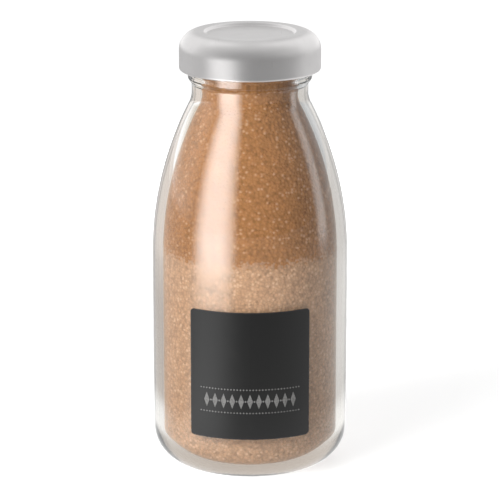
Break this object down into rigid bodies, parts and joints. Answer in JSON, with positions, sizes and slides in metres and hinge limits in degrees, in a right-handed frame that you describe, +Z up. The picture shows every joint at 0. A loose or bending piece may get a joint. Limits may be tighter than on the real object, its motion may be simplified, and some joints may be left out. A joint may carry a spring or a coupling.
{
  "type": "glass milk bottle",
  "caption": "Small round-shouldered clear glass milk bottle with a silver twist-off lid and a plain black label, filled with layered dry drink mix.",
  "frame": {"origin": "centre of the base, on the plane that the bottle stands on", "axes": "+Z up along the bottle's axis, -Y out through the middle of the label, +X to the right when facing the label"},
  "size_m": [0.062, 0.0622, 0.1399],
  "materials": {
    "clear_glass": "clear, moulded",
    "pale_mix": "dry powder, pale milky brown",
    "dark_mix": "dry powder, mid cocoa brown",
    "black_label": "matt black, with a plain pale ornament",
    "silver_lid": "satin silver lacquer on sheet",
    "seal_ring": "soft, matt"
  },
  "bodies": {
    "bottle": {"bottle_glass": "clear_glass", "lower_mix": "pale_mix", "upper_mix": "dark_mix", "front_label": "black_label"},
    "seal": {"lid_gasket": "seal_ring"},
    "lid": {"lid_shell": "silver_lid"}
  },
  "joints": [
    {"name": "lid_rise", "type": "slide", "parent": "bottle", "child": "seal", "axis": [0, 0, 1], "range_m": [0, 0.014]},
    {"name": "lid_turn", "type": "hinge", "parent": "seal", "child": "lid", "pos_m": [0, 0, 0.1335], "axis": [0, 0, 1], "range_deg": [0, 360]}
  ],
  "couplings": [
    {"joint": "lid_rise", "follows": "lid_turn", "m_per_rad": 0.0022282}
  ]
}
